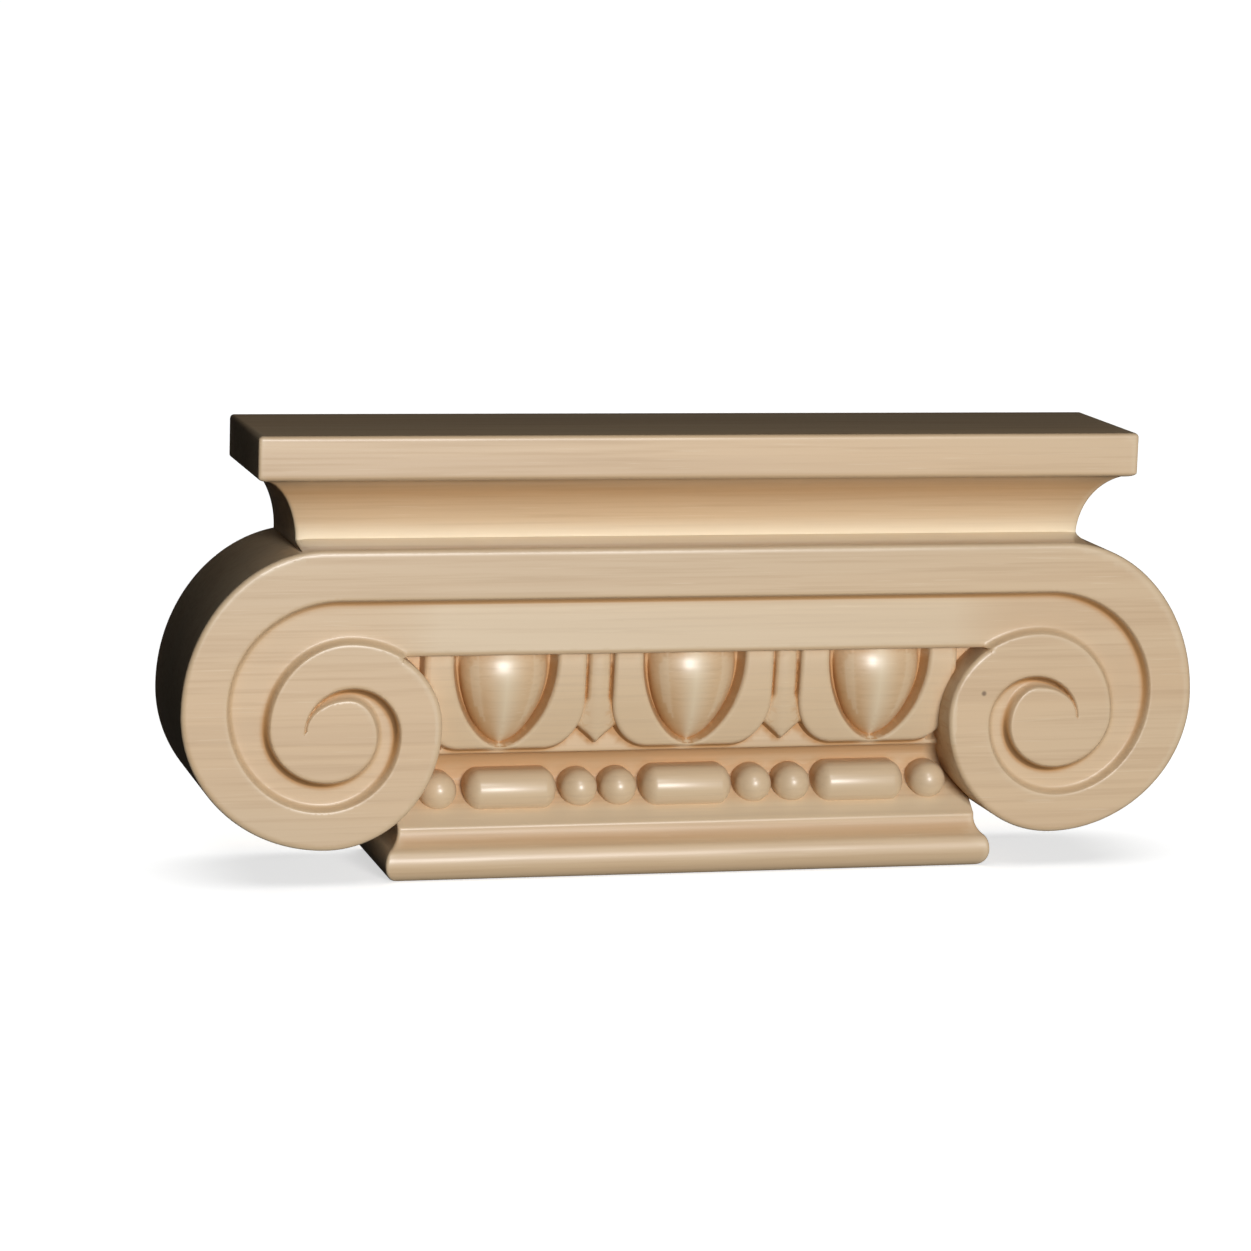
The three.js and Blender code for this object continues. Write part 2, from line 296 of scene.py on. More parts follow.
def rounded(gap, radius):
    """How far a rounded edge falls back at a distance inside it."""
    short = np.clip(radius - gap, 0, radius)
    return radius - np.sqrt(radius * radius - short * short)


def abacus_profile():
    hollow, under = DEPTH - HOLLOW_INSET, DEPTH - FASCIA_EDGE
    return np.vstack([
        [(hollow, SHELF_HEIGHT - 1)],
        quarter((hollow, SHELF_HEIGHT), (under, FASCIA_BOTTOM), False, 40, HOLLOW_TURN),
        quarter((under, FASCIA_BOTTOM), (DEPTH, FASCIA_BOTTOM + FASCIA_LIP), True, 10)[1:],
        quarter((DEPTH, HEIGHT - FASCIA_TOP_EDGE), (DEPTH - FASCIA_TOP_EDGE, HEIGHT), False, 6),
    ])


def base_profile():
    meeting = (NECK_DEPTH + COVE_PROJECTION, COVE_BOTTOM)
    cove = quarter((NECK_DEPTH, COVE_TOP), meeting, False, 14, COVE_TURN)
    return np.vstack([
        quarter((BASE_DEPTH - 2.2, 0), (BASE_DEPTH, ROLL_WIDEST), True, 12),
        quarter((BASE_DEPTH, ROLL_WIDEST), meeting, False, 8, COVE_TURN)[1:],
        cove[-2::-1],
        [(NECK_DEPTH, NECK_TOP - 0.2), (NECK_DEPTH - 0.15, NECK_TOP)],
    ])


ABACUS_PROFILE = abacus_profile()
BASE_PROFILE = base_profile()


def depth_at(z, profile):
    return np.interp(z, profile[:, 1], profile[:, 0])


def abacus_half_width(z):
    return ABACUS_HALF_WIDTH - DEPTH + depth_at(z, ABACUS_PROFILE)


def base_half_width(z):
    bell = np.where(z < FILLET_BOTTOM, NECK_HALF_WIDTH, bar_end() + 3)
    return np.where(z > COVE_TOP, bell, BASE_HALF_WIDTH - BASE_DEPTH + depth_at(z, BASE_PROFILE))


# The carved surface as one function of the place in the front view

def ovolo(z):
    """The swelling face that the shells keep, from under the bar down to the fillet."""
    fall = np.clip((BAR_BOTTOM - z) / (BAR_BOTTOM - shell_bottom), 0, 1)
    return OVOLO_TOP_DEPTH - (OVOLO_TOP_DEPTH - OVOLO_FOOT_DEPTH) * fall ** 2


def row_hollow(z):
    """The hollow that the beads and reels lie in, between the fillet and the neck."""
    rise = np.clip((z - HOLLOW_MIDDLE) / (FILLET_BOTTOM - HOLLOW_MIDDLE), 0, 1)
    fall = np.clip((HOLLOW_MIDDLE - z) / (HOLLOW_MIDDLE - NECK_TOP), 0, 1)
    upper = (FILLET_DEPTH - 0.4 - HOLLOW_DEPTH) * (1 - np.sqrt(1 - rise ** 2))
    lower = (NECK_DEPTH - 0.15 - HOLLOW_DEPTH) * fall ** HOLLOW_POWER
    return HOLLOW_DEPTH + upper + lower


def bell_ground(x, z):
    from_dart = np.min([np.abs(x - centre) for centre in DART_CENTRES], axis=0)
    rise = (DART_BARB_HEIGHT - DART_TIP_HEIGHT) * np.minimum(from_dart / DART_BARB_HALF_WIDTH, 1)
    spandrel_top = np.where(np.abs(x) < EGG_SPACING, DART_TIP_HEIGHT + rise, FILLET_TOP)
    fillet = FILLET_DEPTH - rounded(np.maximum(z - FILLET_BOTTOM, 0), 0.4)
    behind = ovolo(z) - GROUND_DROP
    ground = np.where(z <= spandrel_top, np.maximum(fillet, behind), behind)
    ground = np.where(z < FILLET_BOTTOM, row_hollow(z), ground)
    return np.where(z <= NECK_TOP, depth_at(z, BASE_PROFILE), ground)


def with_shell(ground, across, z):
    close = near(np.abs(across), z, (-1, shell_bottom - 1), (SHELL_HALF_WIDTH + 1, BAR_BOTTOM + 2))
    u, v, under = np.abs(across[close]), z[close], ground[close]
    outer = signed(u, v, closed_by_middle(shell_edge), shell_edge)
    inner = -signed(u, v, closed_by_middle(groove_edge), groove_edge)
    face = ovolo(v)
    rim = face - rounded(np.maximum(outer, 0), SHELL_EDGE) - rounded(np.maximum(inner, 0), SHELL_EDGE)
    outside = under + (rim - under) * np.clip(1 + outer / SHELL_DRAFT, 0, 1)
    floor = face - GROOVE_DROP
    side = floor + (face - SHELL_EDGE - floor) * np.clip(1 + inner / GROOVE_SLOPE, 0, 1)
    half = np.interp(v, egg_line[::-1, 1], egg_line[::-1, 0])
    bow = EGG_TOP_DROP * np.clip((v - EGG_CREST) / (BAR_BOTTOM - EGG_CREST), 0, 1) ** 2
    egg = floor + EGG_SWELL * np.sqrt(np.maximum(half * half - u * u, 0)) - bow
    height = ground.copy()
    height[close] = np.where(inner < 0, np.maximum(side, egg), np.maximum(outside, under))
    return height


def with_dart(ground, across, z):
    close = near(np.abs(across), z, (-1, DART_TIP_HEIGHT - 1), (DART_BARB_HALF_WIDTH + 1, BAR_BOTTOM + 2))
    u, v, under = np.abs(across[close]), z[close], ground[close]
    gap = signed(u, v, closed_by_middle(dart_edge), dart_edge)
    ridge = DART_RIDGE * np.clip(1 - u / DART_STEM_HALF_WIDTH, 0, 1)
    top = ovolo(v) - DART_DROP + ridge - rounded(np.maximum(gap, 0), DART_EDGE)
    height = ground.copy()
    height[close] = np.maximum(under, under + (top - under) * np.clip(1 + gap / SHELL_DRAFT, 0, 1))
    return height


def bell_height(x, z):
    height = bell_ground(x, z)
    for centre in DART_CENTRES:
        height = with_dart(height, x - centre, z)
    for centre in EGG_CENTRES:
        height = with_shell(height, x - centre, z)
    return height


def channel_drop(ax, z):
    to_wall = np.minimum(distance(ax, z, channel_inner), distance(ax, z, channel_outer))
    gap = np.where(inside(ax, z, channel_outline), to_wall, -to_wall)
    over_rim = np.clip(gap + CHANNEL_RIM, 0, 2 * CHANNEL_RIM) ** 2 / (4 * CHANNEL_RIM)
    past_rim = np.maximum(gap - CHANNEL_RIM, 0)
    left = np.clip(1 - (over_rim + past_rim) / CHANNEL_SCOOP, 0, 1)
    return CHANNEL_DEPTH * (1 - left ** CHANNEL_SCOOP_POWER)


def surface(x, z):
    """How far the carved front stands forward of the back, in millimetres."""
    ax = np.abs(x)
    gap = signed(ax, z, plate_outline, plate_edge)
    gap = np.where(np.abs(gap) < 1e-4, 0, gap)
    plate = PLATE_DEPTH - channel_drop(ax, z) - rounded(np.maximum(gap, 0), PLATE_EDGE)
    above = depth_at(z, ABACUS_PROFILE) - rounded(np.maximum(abacus_half_width(z) - ax, 0), CORNER_EASE)
    bell = bell_height(x, z) - rounded(np.maximum(base_half_width(z) - ax, 0), CORNER_EASE)
    behind = np.where(z > BAR_BOTTOM + 5, above, bell)
    wall = np.clip(1 + gap / np.where(z > SHELF_HEIGHT - 0.5, SHELF_FALL, WALL_DRAFT), 0, 1)
    return np.where(gap >= 0, plate, np.maximum(behind, behind + (plate - behind) * wall))


def on_the_part(x, z):
    ax = np.abs(x)
    abacus = (z > SHELF_HEIGHT - 1) & (ax < abacus_half_width(z))
    bell = (z < BAR_BOTTOM + 1) & (ax < base_half_width(z))
    return inside(ax, z, plate_outline) | abacus | bell


# Painted light and shade in the colour: brown painted shade and glaze where a place lies deeper than what is
# around it, pale painted highlights and light on edges, eggs and the hollows' lit parts, and paler beads, bar
# and shells

# A tone of one is the full brown of painted shade and glaze, and the full pale; the eye's place and reach and
# the full step are in millimetres
FULL_STEP = 0.95
BELL_DARKEST = 0.72
BESIDE_PLATE_DARKEST = 0.32
PLATE_FOOT_SHADOW = 0.45
EYE = (62, 26)
EYE_REACH = 15
EYE_BOOST = 0.35
ROW_SHADES = (0.36, 0.08)
ROW_LOW_SHADE = 0.14
ROW_RISE = 0.45
ROW_DARKEST = 0.52
COVE_SHADE = 0.42
SLAB_SHADE = 0.62
SLAB_FADE = 1.25
SLAB_FADE_POWER = 1.6
SLAB_TOP_LOSS = 0.6
EGG_TURN = 0.6
EGG_SIDE_SHADE = 1.4
EGG_HIGHLIGHT = 1.7
BEAD_PALE = 0.6
EDGE_HIGHLIGHT = 0.5
SHELL_PALE = 0.55
BAR_PALE = 0.65
UNDER_ROW_LIGHT = 0.75
SHELF_LIGHT = 1.5


def row_height(x, z):
    """How far forward the beads and reels come, and nought beside them."""
    up = z - BEAD_ROW_HEIGHT
    squares = []
    for centre in REEL_CENTRES:
        past = np.maximum(np.abs(x - centre) - REEL_LENGTH / 2 + REEL_END, 0) * REEL_RADIUS / REEL_END
        squares.append(REEL_RADIUS ** 2 - up ** 2 - past ** 2)
    for centre in BEAD_CENTRES:
        squares.append(BEAD_RADIUS ** 2 - up ** 2 - (x - centre) ** 2)
    highest = np.max(squares, axis=0)
    return np.where(highest > 0, BEAD_AXIS_DEPTH + np.sqrt(np.maximum(highest, 0)), 0)


def blurred(grid, spread):
    reach = math.ceil(3 * spread)
    weights = np.exp(-0.5 * (np.arange(-reach, reach + 1) / spread) ** 2)
    weights /= weights.sum()
    for axis in (0, 1):
        padded = np.pad(grid, [(reach, reach) if a == axis else (0, 0) for a in (0, 1)], mode="edge")
        size = grid.shape[axis]
        grid = sum(w * np.take(padded, range(i, i + size), axis) for i, w in enumerate(weights))
    return grid


class Surroundings:
    """The depth around each place of the front, averaged over a short and a long reach."""
    STEP = 0.3
    # Leaning up and to the right, toward the light, puts painted shade on walls that face left and down, and
    # painted highlights on edges facing up and right.
    LEAN = 0.5
    SHORT_REACH = 0.5
    LONG_REACH = 2.4

    def __init__(self):
        self.xs = np.arange(-92, 92, self.STEP)
        self.zs = np.arange(-3, 79, self.STEP)
        x, z = (g.ravel() for g in np.meshgrid(self.xs, self.zs))
        there = on_the_part(x, z)
        depth = np.zeros(len(x))
        depth[there] = np.maximum(surface(x[there], z[there]), row_height(x[there], z[there]))
        depth = depth.reshape(len(self.zs), len(self.xs))
        self.close = blurred(depth, self.SHORT_REACH / self.STEP)
        self.wide = blurred(np.minimum(depth, FILLET_DEPTH + 1), self.LONG_REACH / self.STEP)

    def at(self, x, z, grid):
        column = np.clip((x - self.xs[0]) / self.STEP, 0, len(self.xs) - 1.001)
        row = np.clip((z - self.zs[0]) / self.STEP, 0, len(self.zs) - 1.001)
        c, r = column.astype(int), row.astype(int)
        fc, fr = column - c, row - r
        low = grid[r, c] * (1 - fc) + grid[r, c + 1] * fc
        high = grid[r + 1, c] * (1 - fc) + grid[r + 1, c + 1] * fc
        return low * (1 - fr) + high * fr

    def standing_above(self, x, z, depth):
        """How far the surroundings stand above a place: close by, up and to the right toward the light, for
        painted shade and highlights, and all around.
        """
        close = self.at(x + self.LEAN, z + self.LEAN, self.close) - depth
        wide = self.at(x, z, self.wide) - depth
        return close, wide


def share(value, low, high):
    """Nought at the low value and before it, one at the high value and past it."""
    return np.clip((value - low) / (high - low), 0, 1)


def slab_painted_shade(z):
    """Painted shade under the slab's fascia, fading down the hollow and again right under the fascia."""
    fading = share(z, SHELF_HEIGHT, FASCIA_BOTTOM) * SLAB_FADE - 0.1
    under = np.clip(fading, 0, 1) ** SLAB_FADE_POWER * (1 - SLAB_TOP_LOSS * share(z, 66, FASCIA_BOTTOM))
    return SLAB_SHADE * under * (z < FASCIA_BOTTOM + 0.1)


def channel_painted_shade(ax, z, close):
    """Painted shade at the channel's walls, most of all near the scroll's eye."""
    near_eye = share(np.hypot(ax - EYE[0], z - EYE[1]), EYE_REACH, EYE_REACH - 4)
    return np.clip(close * (1 + EYE_BOOST * near_eye) / FULL_STEP, 0, 1)


def bell_shade_and_glaze(x, z, close, wide, gap, on_beads):
    """Painted shade and glaze brown in the grooves, painted shade behind the beads and in the base's cove,
    and a painted contact shadow at the plate's foot.
    """
    shade_and_glaze = np.minimum(np.clip(close / FULL_STEP, 0, 1), BELL_DARKEST)

    # Painted shade in the hollow behind the beads, stronger to the left and rising with height.
    behind_row = np.interp(x, (-50, 50), ROW_SHADES) * np.clip(wide / Surroundings.LONG_REACH, 0, 1)
    height = (z - NECK_TOP) / (FILLET_BOTTOM - NECK_TOP)
    darkest = np.clip(ROW_LOW_SHADE + ROW_RISE * height, 0, ROW_DARKEST)
    shade_and_glaze = np.where(z < FILLET_BOTTOM, np.minimum(shade_and_glaze + behind_row, darkest), shade_and_glaze)

    # Painted shade in the base's cove.
    cove_start, cove_reach = COVE_BOTTOM - 0.5, COVE_TOP - COVE_BOTTOM + 0.5
    in_cove = (z < COVE_TOP) & (z > cove_start)
    cove = np.where(in_cove, np.sin((z - cove_start) / cove_reach * math.pi), 0)
    shade_and_glaze = np.maximum(shade_and_glaze, COVE_SHADE * cove)

    shade_and_glaze = np.where(on_beads, shade_and_glaze / 2, shade_and_glaze)
    # Lighter painted shade on the ground beside the scroll's plate, and a painted contact shadow at its foot.
    beside_plate = (gap < -1e-3) & ~on_beads
    shade_and_glaze = np.where(beside_plate & (gap > -2.4), np.minimum(shade_and_glaze, BESIDE_PLATE_DARKEST), shade_and_glaze)
    return np.where(beside_plate & (gap > -0.4), PLATE_FOOT_SHADOW, shade_and_glaze)


def pale_and_highlights(ax, z, depth, close, on_beads):
    """Painted highlights on edges, painted light under the row of beads, and paler beads, bar and faces of
    the shells.
    """
    bead = BEAD_PALE * share(depth, BEAD_AXIS_DEPTH - 0.4, BEAD_AXIS_DEPTH + 1.6)
    # Painted highlights on edges standing above their surroundings, up and to the right.
    lit_and_pale = np.where(on_beads, bead, EDGE_HIGHLIGHT * np.clip(-close / 0.6, 0, 1))
    bar = share(ax, 60, 45) * (z > BAR_BOTTOM + 0.5) * (z < CHANNEL_TOP - 1)
    on_shell = (ax < 46) & (z < BAR_BOTTOM) & (z > FILLET_TOP) & (depth > ovolo(z) - 0.6)
    lit_and_pale = np.maximum(lit_and_pale, np.where(on_shell, SHELL_PALE, BAR_PALE * bar))
    # Painted light on the lower hollow under the row of beads.
    under_row = (ax < NECK_HALF_WIDTH) & (z > NECK_TOP) & (depth < NECK_DEPTH) & ~on_beads
    return np.maximum(lit_and_pale, np.where(under_row, UNDER_ROW_LIGHT * share(z, 12.6, 11.1), 0))


def egg_light_and_shade(x, z, depth):
    """Below nought, a painted highlight over the middle of an egg, and above nought, painted shade over its
    sides and groove.
    """
    tone = np.zeros(len(x))
    half = np.interp(z, egg_line[::-1, 1], egg_line[::-1, 0])
    in_hollow = (z > EGG_CENTRE_HEIGHT - EGG_HEIGHT - 0.5) & (z < BAR_BOTTOM) & (depth < ovolo(z) + 1.5)
    for centre in EGG_CENTRES:
        across = np.abs(x - centre)
        past = across / np.maximum(half, 0.1) - EGG_TURN
        shade = np.where(past > 0, EGG_SIDE_SHADE * np.minimum(past, 1 - EGG_TURN), EGG_HIGHLIGHT * past)
        tone = np.where(in_hollow & (across < half + GROOVE_WIDTH), shade, tone)
    return tone


def tones(x, z, depth):
    """(shade and glaze, light and paleness): nought on a plain face, more where painted shade and glaze make
    it brown and where painted light and paler places make it pale.
    """
    ax = np.abs(x)
    close, wide = Surroundings().standing_above(x, z, depth)
    gap = signed(ax, z, plate_outline, plate_edge)
    on_slab = (z > SHELF_HEIGHT - 0.5) & (ax < abacus_half_width(z) + 0.1)
    on_beads = (row_height(x, z) > 0) & (depth > BEAD_AXIS_DEPTH - 1)
    egg = egg_light_and_shade(x, z, depth)

    carving = np.where(gap > 0, channel_painted_shade(ax, z, close), bell_shade_and_glaze(x, z, close, wide, gap, on_beads))
    shade_and_glaze = np.maximum(np.where(on_slab, slab_painted_shade(z), carving), egg)
    light_and_pale = np.where(egg < 0, -egg, pale_and_highlights(ax, z, depth, close, on_beads))
    # Painted light on the foot of the hollow under the slab, just above the shelf.
    shelf = share(z, SHELF_HEIGHT + 5, SHELF_HEIGHT) * (z > SHELF_HEIGHT + 0.2) * (z < FASCIA_BOTTOM)
    light_and_pale = np.maximum(light_and_pale, SHELF_LIGHT * shelf)
    carved = depth > 5
    return np.clip(shade_and_glaze, 0, 1) * carved, light_and_pale * carved


# The plan of the front: every line that the surface turns or steps at

class Plan:
    def __init__(self):
        self.points, self.lines = [], []

    def line(self, points):
        first = len(self.points)
        self.points.extend(map(tuple, points))
        self.lines.extend((i, i + 1) for i in range(first, len(self.points) - 1))

    def mirrored_line(self, points):
        self.line(points)
        self.line(np.asarray(points) * (-1, 1))

    def scatter(self, points):
        self.points.extend(map(tuple, points))


def level_line(z, half):
    return straight((-half, z), (half, z), 2.0)


def plan_of_front():
    plan = Plan()
    for z in ABACUS_PROFILE[1:, 1]:
        plan.line(level_line(z, float(abacus_half_width(z))))
    for z in (FASCIA_BOTTOM + FASCIA_EDGE + 0.3, HEIGHT - FASCIA_TOP_EDGE - 0.3):
        plan.line(level_line(z, ABACUS_HALF_WIDTH))
    side = np.column_stack([ABACUS_HALF_WIDTH - DEPTH + ABACUS_PROFILE[:, 0], ABACUS_PROFILE[:, 1]])
    for gap in (0, 0.1, 0.25, 0.5, 0.8):
        plan.mirrored_line(side - (gap, 0))

    for gap in (-WALL_DRAFT, 0, 0.06, 0.2, 0.45, 0.8, 1.2):
        plan.mirrored_line(shifted(plate_edge, -gap))
    for gap in (-0.6, -0.2, -0.1, 0, 0.1, 0.2, 0.32, 0.5, 0.7, 0.95, 1.2, 1.8):
        plan.mirrored_line(shifted(channel_outer, -gap))
        plan.mirrored_line(shifted(channel_inner, gap))

    for z in BASE_PROFILE[:, 1]:
        plan.line(level_line(z, float(base_half_width(z))))
    moulded = BASE_PROFILE[BASE_PROFILE[:, 1] <= COVE_TOP]
    side = np.column_stack([base_half_width(moulded[:, 1]), moulded[:, 1]])
    for gap in (0, 0.1, 0.25, 0.5, 0.8):
        plan.mirrored_line(side - (gap, 0))
        neck = NECK_HALF_WIDTH - gap
        plan.mirrored_line(straight((neck, COVE_TOP), (neck, FILLET_BOTTOM)))
    for turn in np.linspace(-math.pi / 2, math.pi / 2, 25):
        reach = FILLET_BOTTOM - HOLLOW_MIDDLE if turn > 0 else HOLLOW_MIDDLE - NECK_TOP
        plan.line(level_line(HOLLOW_MIDDLE + reach * math.sin(turn), NECK_HALF_WIDTH))
    for z in (0.001, 0.1, 0.25, 0.4, 0.8):
        plan.line(level_line(FILLET_BOTTOM + z, NECK_HALF_WIDTH))
    shelf_top = SHELF_HEIGHT + SHELF_FALL
    plan.line(level_line(shelf_top, float(abacus_half_width(shelf_top))))
    for side in (-1, 1):
        plan.line(straight((side * 47, FILLET_TOP), (side * NECK_HALF_WIDTH, FILLET_TOP)))
        plan.line(straight((side * 47, FILLET_TOP + 0.1), (side * NECK_HALF_WIDTH, FILLET_TOP + 0.1)))

    for centre in EGG_CENTRES:
        for gap in (-SHELL_DRAFT, 0, 0.1, 0.3, 0.55, 0.8, 1.2, 2.2):
            plan.line(both_sides(shifted(shell_edge, -gap)) + (centre, 0))
        for gap in (0, GROOVE_SLOPE):
            plan.line(both_sides(shifted(groove_edge, -gap)) + (centre, 0))
        for gap in (0.1, 0.3, 0.55, 0.8, 1.2):
            plan.line(both_sides(shifted(groove_edge, gap)) + (centre, 0))
        for turn in np.linspace(0, math.pi / 2, 15)[1:]:
            plan.mirrored_line(egg_line * (math.sin(turn), 1) + (centre, 0))
    for centre in DART_CENTRES:
        for gap in (-SHELL_DRAFT, 0, 0.1, 0.3, 0.6, 0.9):
            plan.line(both_sides(shifted(dart_edge, -gap)) + (centre, 0))
        plan.line(straight((centre, DART_TIP_HEIGHT), (centre, BAR_BOTTOM)))

    xs, zs = np.meshgrid(np.arange(-88, 88.1, GRID_STEP), np.arange(0.5, HEIGHT, GRID_STEP))
    plan.scatter(np.column_stack([xs.ravel(), zs.ravel()]))
    return plan


def mesh_of(name, points, faces):
    mesh = bpy.data.meshes.new(name)
    mesh.from_pydata([tuple(p) for p in points], [], [tuple(int(i) for i in f) for f in faces])
    return mesh


def in_metres(x, depth, z):
    return np.column_stack([x, BACK - depth, z]) / 1000


def carved_block():
    """The closed block with its carved front, without the beads and reels."""
    plan = plan_of_front()
    found = delaunay_2d_cdt(plan.points, plan.lines, [], 0, 1e-3)
    spots = np.array([tuple(p) for p in found[0]])
    front = np.array([f for f in found[2] if len(f) == 3])
    middle = spots[front].mean(axis=1)
    front = front[on_the_part(middle[:, 0], middle[:, 1])]

    kept = np.unique(front)
    number = np.full(len(spots), -1)
    number[kept] = np.arange(len(kept))
    spots, front = spots[kept], number[front]
    depth = surface(spots[:, 0], spots[:, 1])

    edges = {}
    for a, b in np.vstack([front[:, [0, 1]], front[:, [1, 2]], front[:, [2, 0]]]):
        edges[(int(a), int(b))] = True
    rim = [(a, b) for a, b in edges if (b, a) not in edges]
    rim_spots = sorted({a for a, _ in rim} | {b for _, b in rim})
    behind = {spot: len(spots) + i for i, spot in enumerate(rim_spots)}
    walls = [(a, behind[a], behind[b], b) for a, b in rim]

    place = {spot: i for i, spot in enumerate(rim_spots)}
    rim_points = [tuple(spots[i]) for i in rim_spots]
    flat = delaunay_2d_cdt(rim_points, [(place[a], place[b]) for a, b in rim], [], 1, 1e-6)
    home = [len(spots) + came_from[0] for came_from in flat[3]]
    back = [[home[i] for i in reversed(face)] for face in flat[2]]

    xs = np.concatenate([spots[:, 0], spots[rim_spots, 0]])
    zs = np.concatenate([spots[:, 1], spots[rim_spots, 1]])
    depths = np.concatenate([depth, np.zeros(len(rim_spots))])
    return mesh_of("carved_block", in_metres(xs, depths, zs), [*front, *walls, *back])


# The bead and reel row, repeated by Geometry Nodes

def tree_with_inputs(name, sizes):
    tree = bpy.data.node_groups.new(name, "GeometryNodeTree")
    tree.interface.new_socket("Geometry", in_out="OUTPUT", socket_type="NodeSocketGeometry")
    for label, value in sizes.items():
        tree.interface.new_socket(label, in_out="INPUT", socket_type="NodeSocketFloat").default_value = value
    return tree


class Builder:
    """Adds nodes to a tree, with values or other nodes' outputs on their sockets."""

    def __init__(self, tree):
        self.tree = tree

    def add(self, kind, sockets=(), **settings):
        node = self.tree.nodes.new(kind)
        for key, value in settings.items():
            setattr(node, key, value)
        for key, value in dict(sockets).items():
            if isinstance(value, bpy.types.NodeSocket):
                self.tree.links.new(value, node.inputs[key])
            else:
                node.inputs[key].default_value = value
        return node

    def math(self, operation, *values):
        return self.add("ShaderNodeMath", dict(enumerate(values)), operation=operation).outputs[0]


def bead_and_reel_tree(material):
    sizes = {
        "Bead Radius": BEAD_RADIUS,
        "Bead Gap": BEAD_PAIR_GAP,
        "Outer Bead": OUTER_BEAD,
        "Reel Radius": REEL_RADIUS,
        "Reel Length": REEL_LENGTH,
        "Reel End": REEL_END,
        "Repeat": REEL_SPACING,
        "Root": BEAD_AXIS_DEPTH - HOLLOW_DEPTH + 1,
    }
    tree = tree_with_inputs("bead_and_reel", {label: size / 1000 for label, size in sizes.items()})
    build = Builder(tree)
    size = build.add("NodeGroupInput").outputs

    def run_back(geometry):
        """Draws the back half of a rounded form out to its root in the hollow."""
        place = build.add("ShaderNodeSeparateXYZ", {0: build.add("GeometryNodeInputPosition").outputs[0]})
        shift = build.add("ShaderNodeCombineXYZ", {"Y": size["Root"]})
        return build.add("GeometryNodeSetPosition", {
            "Geometry": geometry, "Selection": build.math("GREATER_THAN", place.outputs["Y"], 1e-5),
            "Offset": shift.outputs[0]}).outputs[0]

    def turned(geometry):
        return build.add("GeometryNodeTransform", {
            "Geometry": geometry, "Rotation": (0, math.pi / 2, 0)}).outputs[0]

    def row(shape, count, step):
        first = build.math("MULTIPLY", step, -(count - 1) / 2)
        points = build.add("GeometryNodeMeshLine", {
            "Count": count, "Start Location": build.add("ShaderNodeCombineXYZ", {"X": first}).outputs[0],
            "Offset": build.add("ShaderNodeCombineXYZ", {"X": step}).outputs[0]})
        placed = build.add("GeometryNodeInstanceOnPoints", {"Points": points.outputs[0], "Instance": shape})
        return placed.outputs[0]

    ball = build.add("GeometryNodeMeshUVSphere", {"Segments": 40, "Rings": 21, "Radius": size["Bead Radius"]})
    bead = run_back(turned(ball.outputs[0]))

    long_ball = build.add("GeometryNodeMeshUVSphere", {
        "Segments": 44, "Rings": 21, "Radius": size["Reel Radius"]})
    end = build.math("DIVIDE", size["Reel End"], size["Reel Radius"])
    squeeze = build.add("ShaderNodeCombineXYZ", {"X": 1.0, "Y": 1.0, "Z": end})
    short = build.add("GeometryNodeTransform", {
        "Geometry": long_ball.outputs[0], "Scale": squeeze.outputs[0]})
    lying = turned(short.outputs[0])
    place = build.add("ShaderNodeSeparateXYZ", {0: build.add("GeometryNodeInputPosition").outputs[0]})
    half = build.math("SUBTRACT", build.math("MULTIPLY", size["Reel Length"], 0.5), size["Reel End"])
    outward = build.math("MULTIPLY", build.math("SIGN", place.outputs["X"]), half)
    stretched = build.add("GeometryNodeSetPosition", {
        "Geometry": lying, "Offset": build.add("ShaderNodeCombineXYZ", {"X": outward}).outputs[0]})
    reel = run_back(stretched.outputs[0])

    pair = row(bead, 2, size["Bead Gap"])
    pairs = row(pair, 2, size["Repeat"])
    outer = row(bead, 2, build.math("MULTIPLY", size["Outer Bead"], 2.0))
    reels = row(reel, 3, size["Repeat"])
    joined = build.add("GeometryNodeJoinGeometry")
    for part in (pairs, outer, reels):
        tree.links.new(part, joined.inputs[0])
    real = build.add("GeometryNodeRealizeInstances", {"Geometry": joined.outputs[0]})
    painted = build.add("GeometryNodeSetMaterial", {"Geometry": real.outputs[0], "Material": material})
    build.add("NodeGroupOutput", {"Geometry": painted.outputs[0]})
    return tree


def evaluated_mesh(obj):
    bpy.context.view_layer.update()
    return bpy.data.meshes.new_from_object(obj.evaluated_get(bpy.context.evaluated_depsgraph_get()))


def object_of(name, mesh):
    obj = bpy.data.objects.new(name, mesh)
    bpy.context.scene.collection.objects.link(obj)
    return obj


def bead_and_reel(material):
    seed = object_of("bead_and_reel", bpy.data.meshes.new("bead_and_reel"))
    nodes = seed.modifiers.new("row", "NODES")
    nodes.node_group = bead_and_reel_tree(material)
    for item in nodes.node_group.interface.items_tree:
        if item.in_out == "INPUT":
            nodes[item.identifier] = item.default_value
    mesh = evaluated_mesh(seed)
    bpy.data.objects.remove(seed)
    row = object_of("bead_and_reel", mesh)
    mesh.transform(Matrix.Translation((0, (BACK - BEAD_AXIS_DEPTH) / 1000, BEAD_ROW_HEIGHT / 1000)))
    return row


